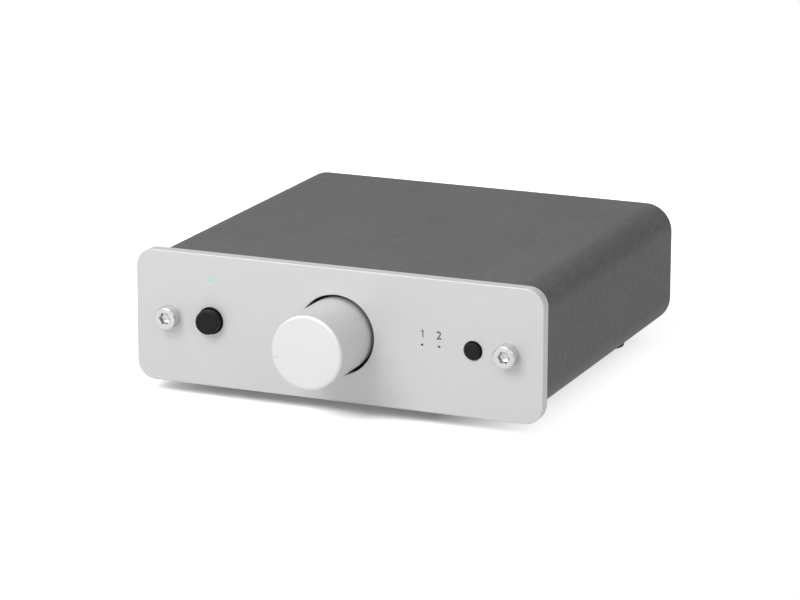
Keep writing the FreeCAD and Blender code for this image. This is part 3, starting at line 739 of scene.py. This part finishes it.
def makeButton(name, node):
    look = buttonLook
    front, rear = endsOf(node)
    flange, dish = sizeOf(node).x / 2, look["dish"]
    radius, step = flange - look["flange"], rear - look["flangeThick"]
    profile = rounded([(0, front + dish), (radius / 2, front + dish / 2), (radius, front),
                       (radius, step), (flange, step), (flange, rear), (0, rear)],
                      [0, look["edge"], 0, look["flangeEdge"], look["flangeEdge"]], 6)
    fit(name, turnedMesh(name, profile, spotOf(node), segments=80), node, node)


makeButton("powerButton", "power_button")
makeButton("selectorButton", "selector_button")
print("buttons made")


def capScrew(way):
    # head towards way (-1 front, 1 rear), with the seat of its head at the origin
    look = screwLook
    head, key, shank = look["head"], look["key"] / 2, look["shank"]
    top, end = way * look["headHeight"], -way * look["length"]
    floor = top - way * look["keyDepth"]
    outer = rounded([(key + look["keyEdge"] * 2, top), (head, top), (head, 0), (shank, 0)],
                    [look["edge"], look["seatEdge"]], 6)
    socket = [(0, floor - way * look["keyPoint"]), (key * look["keyTaper"], floor, 6),
              (key, floor + way * look["keyFloor"], 6), (key, top - way * look["keyEdge"], 6),
              (key + look["keyEdge"], top, 6)]
    thread = threadProfile(shank, -way * look["neck"], end, look["pitch"], look["thread"])
    return turnedMesh("capScrew", socket + outer + thread + [(0, end)], (0, 0), segments=72)


def makeScrews():
    for name, node, seat, way in (("frontScrews", "front_panel_screws", panelFront, -1),
                                  ("rearScrews", "rear_plate_screws", plateRear, 1)):
        places = [(side * sideScrew, seat, axisHeight) for side in (-1, 1)]
        fitCopies(name, capScrew(way), places, node)


makeScrews()
print("screws made")

footLook = inMetres(radius=4.5, taper=0.35, edge=0.6, topEdge=0.15, hollow=1.6, hollowDepth=1.2,
                    hollowFloor=0.2, hollowEdge=0.3)


def makeFeet():
    low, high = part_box("rubber_feet")
    look = footLook
    height, depth, reach = high.z - low.z, look["hollowDepth"], look["radius"]
    profile = rounded([(0, depth), (look["hollow"], depth), (look["hollow"], 0),
                       (reach - look["taper"], 0), (reach, height), (0, height)],
                      [look["hollowFloor"], look["hollowEdge"], look["edge"], look["topEdge"]], 5)
    foot = turnedMesh("foot", profile, (0, 0), segments=64)
    foot.transform(upright)
    places = [(x, y, 0) for x in (low.x + reach, high.x - reach)
              for y in (low.y + reach, high.y - reach)]
    fitCopies("rubberFeet", foot, places, "rubber_feet")


makeFeet()
print("feet made")


def lightPipe(nose):
    # a thin nose through the panel with a domed tip, and a wide flange behind it
    dome, flange, back = pipeLook["dome"], pipeLook["flange"], endsOf("power_light_pipe")[1]
    out, down = pipeLook["domeShare"]
    profile = [(0, panelFront), (nose * out, panelFront + dome * down), (nose, panelFront + dome),
               (nose, panelBack), (flange, panelBack), (flange, back), (0, back)]
    return turnedMesh("pipe", profile, (0, 0), segments=40)


def makePipes():
    places = [(x, 0, z) for x, z in inputLamps()]
    fitCopies("inputPipes", lightPipe(pipeLook["dot"]), places, "input_light_pipes")
    lamp = lightPipe(pipeLook["lamp"])
    lamp.transform(Matrix.Translation((powerLamp.x, 0, powerLamp.z)))
    fit("powerPipe", lamp, "power_light_pipe").data.materials[0] = lampGlow


makePipes()
print("light pipes made")

# the outline of the 1 is in shares of its height; a digit is 0.7 of the font's size high
numberLook = {**inMetres(height=1.9, rise=1.8, proud=0.012, weight=0.05), "digitShare": 0.7,
              "one": [(0.05, 0), (0.19, 0), (0.19, 1), (0.1, 1), (-0.15, 0.81), (-0.15, 0.67),
                      (0.05, 0.8)]}


def makeNumbers():
    look = numberLook
    height, proud = look["height"], look["proud"]
    (firstX, z), (secondX, z) = inputLamps()
    base = z + look["rise"]
    stroke = [(firstX + x * height, base + up * height) for x, up in look["one"]]
    words = bpy.data.curves.new("two", "FONT")
    words.body = "2"
    words.size = height / look["digitShare"]
    words.align_x = "CENTER"
    words.extrude = proud / 2
    words.offset = look["weight"]
    two = bakedMesh(newObject("two", words))
    two.transform(Matrix.Translation((secondX, panelFront - proud / 2, base)) @ upright)
    one = prismMesh("one", stroke, panelFront - proud, panelFront)
    piece = newPiece("inputNumbers", joinedMesh("inputNumbers", [one, two]), inkGrey)
    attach(piece, "base")


makeNumbers()
print("numbers made")

rearLook = inMetres(corner=6.1, edge=0.12, socketHole=4.45, inletHole=4.2, switchHole=2.1,
                    studHole=2.1, usbGap=0.3, usbCorner=0.8, blockScrewHole=1.25)
socketColumns = [middleOf(node).x for node in ("line_out_housing", "line_in_housing",
                                               "phono_in_housing")]
socketRows = [middleOf(node).z for node in ("red_rings", "white_rings")]
socketSpots = [(x, z) for x in socketColumns for z in socketRows]


def makeRearPlate():
    look = rearLook
    size, usbSize, gap = sizeOf("rear_plate"), sizeOf("usb_socket_shell"), 2 * look["usbGap"]
    blockHeight = middleOf("rca_block_screws").z
    outlines = [box2d(size.x, size.z, (0, middleOf("rear_plate").z), look["corner"], 14),
                box2d(usbSize.x + gap, usbSize.z + gap, spotOf("usb_socket_shell"),
                      look["usbCorner"], 5),
                ring2d(look["inletHole"], spotOf("dc_jack_pin"), 64),
                ring2d(look["switchHole"], spotOf("cartridge_switch_button")),
                ring2d(look["studHole"], spotOf("ground_stud")),
                *(ring2d(look["socketHole"], spot, 64) for spot in socketSpots), *screwHoles(),
                *(ring2d(look["blockScrewHole"], (x, blockHeight), 32) for x in socketColumns)]
    mesh = plateMesh("rearPlate", outlines, plateFront, plateRear, look["edge"])
    fit("rearPlate", mesh, "rear_plate")


makeRearPlate()
print("rear plate made")

socketLook = inMetres(shell=4.15, collar=4.35, bore=3.65, lip=0.18, ringEdge=0.25, ringSlope=0.45,
                      contact=2.1, contactBore=1.6, contactDepth=9, contactEdge=0.12)


def makeSockets():
    look = socketLook
    start, end = endsOf("rca_shells")
    shell, bore, lip, contact = (look[key] for key in ("shell", "bore", "lip", "contact"))
    profile = [(look["collar"], start), (look["collar"], plateRear), (shell, plateRear)]
    profile += easedCorner(shell, end, lip) + easedCorner(bore, end, lip, -1)[::-1]
    places = [(x, 0, z) for x, z in socketSpots]
    mesh = turnedMesh("shell", profile + [(bore, start)], (0, 0), segments=72, closed=True)
    fitCopies("socketShells", mesh, places, "rca_shells")
    ringEnd = endsOf("red_rings")[1]
    edge, slope = look["ringEdge"], look["ringSlope"]
    profile = [(bore, start), (bore, ringEnd - edge), (bore - edge, ringEnd),
               (contact + slope, ringEnd), (contact, ringEnd - slope), (contact, start)]
    for name, node, z in zip(("redRings", "whiteRings"), ("red_rings", "white_rings"), socketRows):
        ring = turnedMesh("ring", profile, (0, 0), segments=64, closed=True)
        fitCopies(name, ring, [(x, 0, z) for x in socketColumns], node)
    near, far = endsOf("rca_centre_contacts")
    inner, edge, floor = look["contactBore"], look["contactEdge"], far - look["contactDepth"]
    profile = rounded([(0, near), (contact, near), (contact, far), (inner, far), (inner, floor),
                       (0, floor)], [0, edge, edge, 0], 3)
    mesh = turnedMesh("contact", profile, (0, 0), segments=48)
    fitCopies("socketContacts", mesh, places, "rca_centre_contacts")


makeSockets()
print("phono sockets made")

blockScrewLook = inMetres(head=1.9, shank=1.15, crown=0.55, crossReach=1.05, crossHalf=0.22,
                          crossDepth=0.75, pitch=0.7, thread=0.16, neck=0.3, tip=0.8)


def makeBlockScrews():
    # pan head screws with a cross, one to each pair of sockets
    look = blockScrewLook
    near, far = endsOf("rca_block_screws")
    head, shank, half, reach = (look[key] for key in ("head", "shank", "crossHalf", "crossReach"))
    turns = [math.radians(turn) for turn in range(15, 91, 15)]
    profile = [(0, far)]
    profile += [(head * math.sin(a), far - look["crown"] * (1 - math.cos(a))) for a in turns]
    profile += [(head, plateRear), (shank, plateRear)]
    profile += threadProfile(shank, plateRear - look["neck"], near + look["tip"], look["pitch"],
                             look["thread"])
    screw = turnedMesh("blockScrew", profile + [(0, near)], (0, 0), segments=40)
    corners = []
    for x, z in ((1, 0), (0, 1), (-1, 0), (0, -1)):  # each arm's two ends and the notch after it
        corners += [(x * reach + z * half, z * reach - x * half),
                    (x * reach - z * half, z * reach + x * half), ((x - z) * half, (x + z) * half)]
    cross = prismMesh("cross", corners, far - look["crossDepth"], far + look["crossDepth"])
    places = [(x, 0, middleOf("rca_block_screws").z) for x in socketColumns]
    fitCopies("blockScrews", carvedMesh(screw, cross), places, "rca_block_screws")


makeBlockScrews()
print("block screws made")

postLook = {**inMetres(shank=2.0, pitch=0.7, thread=0.18, nutEdge=0.35, lead=0.25, core=3.74,
                       ribReach=0.25, rim=0.5, washerEdge=0.15, play=0.1),
            "ribs": 34, "nutFace": 0.97}


def ribMesh(width, reach, length, lead):
    # a ridge standing out along x and running back along z, lower at both ends
    rings = [((-reach, -width / 2, z), (tip, 0, z), (-reach, width / 2, z))
             for z, tip in ((0, 0), (-lead, reach), (lead - length, reach), (-length, 0))]
    return shellMesh("rib", rings, "filled")


def makeGroundPost():
    look = postLook
    spot = spotOf("ground_stud")
    shank, lead, thread = look["shank"], look["lead"], look["thread"]
    bore = shank + look["play"]

    near, far = endsOf("ground_stud")
    head = sizeOf("ground_stud").x / 2
    profile = [(0, near), (head, near), (head, plateFront), (shank - thread, plateFront)]
    profile += threadProfile(shank, plateFront + lead, far - 2 * lead, look["pitch"], thread)
    profile += [(shank - 2 * lead, far), (0, far)]
    fit("groundStud", turnedMesh("groundStud", profile, spot, segments=48), "ground_stud")

    near, far = endsOf("ground_stud_nut")
    size = sizeOf("ground_stud_nut")
    flat = min(size.x, size.z) / 2
    profile = [(shank, near), (flat, near, 6), (flat, far - look["nutEdge"], 6),
               (flat * look["nutFace"], far), (shank + lead, far), (shank, far - lead)]
    mesh = turnedMesh("groundNut", profile, spot, segments=48, closed=True)
    fit("groundNut", mesh, "ground_stud_nut")

    near, far = endsOf("ground_washer")
    rim, soft = sizeOf("ground_washer").x / 2, look["washerEdge"]
    profile = [(bore, near), (rim - soft, near), (rim, near + soft), (rim, far - soft),
               (rim - soft, far), (bore, far)]
    mesh = turnedMesh("groundWasher", profile, spot, segments=64, closed=True)
    fit("groundWasher", mesh, "ground_washer")

    near, far = endsOf("ground_thumb_nut")
    core, edge, reach = look["core"], look["rim"], look["ribReach"]
    profile = [(bore, near), (core, near)] + easedCorner(core, far, edge)
    profile += [(bore + 2 * lead, far), (bore, far - 2 * lead)]
    finish = finishes[slotOfNode["ground_thumb_nut"]]
    mesh = turnedMesh("thumbCore", profile, spot, segments=68, closed=True)
    body = newPiece("thumbCore", mesh, finish)
    width = 2 * math.pi * core / look["ribs"]
    rib = newPiece("thumbRib", ribMesh(width, reach, far - near - edge, lead), finish)
    mesh = runTree("thumbNut", ribsRoundBody, {
        "Body": body, "Rib": rib, "Count": look["ribs"], "Radius": core,
        "Centre": (spot[0], near, spot[1]), "Finish": finish})
    for pattern in (body, rib):
        bpy.data.objects.remove(pattern)
    fit("thumbNut", mesh, "ground_thumb_nut", "thumb_nut")


makeGroundPost()
print("ground post made")

usbLook = inMetres(wall=0.4, corner=0.7, innerCorner=0.5, edge=0.08, mouthWidth=8.6,
                   mouthHeight=7.9, mouthCut=1.7, mouthCorner=0.3, slack=0.03, sink=0.5,
                   linerEdge=0.1, linerLap=0.2, backStart=1.0, tongueCorner=0.35, tongueEdge=0.2,
                   contactWidth=1.0, contactThick=0.3, contactCorner=0.1, contactEdge=0.04,
                   contactApart=2.5, contactShort=0.8)


def makeUsbSocket():
    look = usbLook
    size, spot = sizeOf("usb_socket_shell"), spotOf("usb_socket_shell")
    front, rear = endsOf("usb_socket_shell")
    near, far = endsOf("usb_socket_tongue")

    def outline(inset, corner):
        return box2d(size.x - 2 * inset, size.z - 2 * inset, spot, corner, 5)

    wall, edge = look["wall"], look["linerEdge"]
    walls = [outline(0, look["corner"]), outline(wall, look["innerCorner"])]
    fit("usbShell", plateMesh("usbShell", walls, front, rear, look["edge"]), "usb_socket_shell")

    halfWidth, halfHeight, cut = look["mouthWidth"] / 2, look["mouthHeight"] / 2, look["mouthCut"]
    corners = [(-halfWidth, -halfHeight), (halfWidth, -halfHeight), (halfWidth, halfHeight - cut),
               (halfWidth - cut, halfHeight), (cut - halfWidth, halfHeight),
               (-halfWidth, halfHeight - cut)]
    mouth = softCorners([(spot[0] + x, spot[1] + z) for x, z in corners],
                        [look["mouthCorner"]] * 6, 3)
    outer = outline(wall + look["slack"], look["innerCorner"])
    liner = plateMesh("usbLiner", [outer, mouth], near - look["linerLap"], rear - look["sink"],
                      edge)
    back = plateMesh("usbBack", [outer], front + look["backStart"], near, edge)
    fit("usbLiner", joinedMesh("usbLiner", [liner, back]), slot="white_plastic")

    size, (x, z) = sizeOf("usb_socket_tongue"), spotOf("usb_socket_tongue")
    tongue = box2d(size.x, size.z, (x, z), look["tongueCorner"], 4)
    mesh = plateMesh("usbTongue", [tongue], near, far, look["tongueEdge"])
    fit("usbTongue", mesh, "usb_socket_tongue")

    face = box2d(look["contactWidth"], look["contactThick"], (0, 0), look["contactCorner"], 3)
    strip = plateMesh("strip", [face], near, far - look["contactShort"], look["contactEdge"])
    places = [(x + side * look["contactApart"] / 2, 0, z + up * size.z / 2)
              for side in (-1, 1) for up in (-1, 1)]
    fitCopies("usbContacts", strip, places, slot="gold_plate")


makeUsbSocket()
print("usb socket made")

inletLook = inMetres(nose=4.0, bore=3.1, depth=9.5, edge=0.3, corner=0.4, blockEdge=0.1,
                     pinEdge=0.1, pinTip=0.5)


def makeInlet():
    look = inletLook
    size, spot = sizeOf("dc_jack_housing"), spotOf("dc_jack_pin")
    front, rear = endsOf("dc_jack_housing")
    nose, bore, edge, floor = look["nose"], look["bore"], look["edge"], rear - look["depth"]
    outer = box2d(size.x, size.z, spotOf("dc_jack_housing"), look["corner"], 4)
    profile = [(bore, floor), (nose, floor)] + easedCorner(nose, rear, edge)
    profile += [(bore + edge, rear), (bore, rear - edge)]
    parts = [plateMesh("inletBlock", [outer, ring2d(bore, spot)], floor, plateFront,
                       look["blockEdge"]),
             plateMesh("inletBack", [outer], front, floor, look["blockEdge"]),
             turnedMesh("inletNose", profile, spot, segments=72, closed=True)]
    fit("powerInlet", joinedMesh("powerInlet", parts), "dc_jack_housing")
    near, far = endsOf("dc_jack_pin")
    radius = sizeOf("dc_jack_pin").x / 2
    profile = rounded([(0, near), (radius, near), (radius, far), (0, far)],
                      [look["pinEdge"], look["pinTip"]], 5)
    fit("inletPin", turnedMesh("inletPin", profile, spot, segments=40), "dc_jack_pin")


makeInlet()
print("power inlet made")

cartridgeLook = inMetres(edge=0.45, backEdge=0.15)


def makeCartridgeButton():
    node, look = "cartridge_switch_button", cartridgeLook
    near, far = endsOf(node)
    radius = sizeOf(node).x / 2
    profile = rounded([(0, near), (radius, near), (radius, far), (0, far)],
                      [look["backEdge"], look["edge"]], 6)
    mesh = turnedMesh("cartridgeButton", profile, spotOf(node), segments=56)
    fit("cartridgeButton", mesh, node, "cartridge_button")


makeCartridgeButton()
print("cartridge button made")

cameraLook = {"lens": 162.33, "sensor": 36.0, "nearest": 0.01, "azimuth": 22.72,
              "elevation": 14.72, "roll": 0.22, "distance": 0.8381,
              "aim": (0.01290, -0.03616, 0.02711)}


def makeCamera():
    look = cameraLook
    turn, lift, roll = (math.radians(look[key]) for key in ("azimuth", "elevation", "roll"))
    turned = (Matrix.Rotation(turn, 4, "Z") @ Matrix.Rotation(math.pi / 2 - lift, 4, "X")
              @ Matrix.Rotation(roll, 4, "Z"))
    data = bpy.data.cameras.new("camera")
    data.lens = look["lens"]
    data.sensor_width = look["sensor"]
    data.sensor_fit = "HORIZONTAL"
    data.clip_start = look["nearest"]
    camera = newObject("camera", data)
    away = Matrix.Translation((0, 0, look["distance"]))
    camera.matrix_world = Matrix.Translation(look["aim"]) @ turned @ away
    bpy.context.scene.camera = camera


makeCamera()

white = (1.0, 1.0, 1.0, 1.0)
# the floor fades to bare white between near and far, and beside the object between sideStart
# and sideEnd; a mirrored sky is dimmer away from mirrorWay
stageLook = {"floorHalf": 4.0, "floorTone": 0.7, "mirrorTone": 0.9, "shownTone": 1.5,
             "floorLift": 0.13, "near": 0.2, "far": 0.45, "sideStart": 0.022, "sideEnd": 0.051,
             "worldLevel": 0.62, "mirrorLow": 0.45, "mirrorWay": (-0.45, -0.75, 0.48)}


def raysOf(board):
    # 1 for rays from the camera, and 1 for those mirrored or let through
    direct, glossy, through = board.add("ShaderNodeLightPath", output=[
        "Is Camera Ray", "Is Glossy Ray", "Is Transmission Ray"])
    return direct, glossy.most(through)


def makeFloor():
    look = stageLook
    board = Board("floorWhite")
    direct, mirrored = raysOf(board)
    seen = direct.most(mirrored)
    plainTone, mirrorTone, shownTone = (
        (look[key],) * 3 + (1.0,) for key in ("floorTone", "mirrorTone", "shownTone"))
    tone = board.between(board.between(plainTone, mirrorTone, mirrored), shownTone, direct)
    painted = board.add("ShaderNodeBsdfDiffuse", {}, {"Color": tone})
    lift = board.add("ShaderNodeEmission", {}, {"Color": white,
                                                "Strength": seen * look["floorLift"]})
    lit = board.add("ShaderNodeAddShader", {}, {0: painted, 1: lift})
    spot = board.add("ShaderNodeTexCoord", output="Object")
    away = board.add("ShaderNodeVectorMath", {"operation": "LENGTH"}, {0: spot}, "Value")
    across, along, up = board.split(spot)
    aside = (across - look["sideStart"]) / (look["sideEnd"] - look["sideStart"])
    fade = ((away - look["near"]) / (look["far"] - look["near"])).most(aside).clipped() * seen
    bare = board.add("ShaderNodeEmission", {}, {"Color": white, "Strength": 1.0})
    mixed = board.add("ShaderNodeMixShader", {}, {0: fade, 1: lit, 2: bare})
    board.add("ShaderNodeOutputMaterial", {}, {"Surface": mixed})
    shape = bmesh.new()
    bmesh.ops.create_grid(shape, x_segments=1, y_segments=1, size=look["floorHalf"])
    mesh = bpy.data.meshes.new("floor")
    shape.to_mesh(mesh)
    shape.free()
    newPiece("floor", mesh, board.material)


def makeWorld():
    look = stageLook
    world = bpy.data.worlds.new("studio")
    bpy.context.scene.world = world
    board = Board("studio", world)
    direct, mirrored = raysOf(board)
    seen = direct.most(mirrored)
    sky = board.add("ShaderNodeTexCoord", output="Generated")
    way = board.add("ShaderNodeVectorMath", {"operation": "DOT_PRODUCT"},
                    {0: sky, 1: look["mirrorWay"]}, "Value")
    side = (way * 0.5 + 0.5).clipped()
    dim = 1 - mirrored * (1 - side) * (1 - look["mirrorLow"])
    level = (seen * (1 - look["worldLevel"]) + look["worldLevel"]) * dim
    light = board.add("ShaderNodeBackground", {}, {"Color": white, "Strength": level})
    board.add("ShaderNodeOutputWorld", {}, {"Surface": light})


lampAim = (0, 0, 0.02)
lampLook = {
    "keyLight": {"place": (-0.15, -0.48, 0.43), "size": 0.34, "power": 2.45},
    "rearLight": {"place": (-0.4, 1.1, 0.9), "size": 0.9, "power": 0.8},
    "fillLight": {"place": (0.38, -0.36, 0.3), "size": 0.3, "power": 0.25},
}


def makeLamps():
    for name, look in lampLook.items():
        data = bpy.data.lights.new(name, "AREA")
        data.size = look["size"]
        data.energy = look["power"]
        lamp = newObject(name, data)
        lamp.location = look["place"]
        aim = Vector(lampAim) - Vector(look["place"])
        lamp.rotation_euler = aim.to_track_quat("-Z", "Y").to_euler()


makeFloor()
makeWorld()
makeLamps()
bpy.context.scene.view_settings.view_transform = "Standard"
print("stage, lights and camera set")
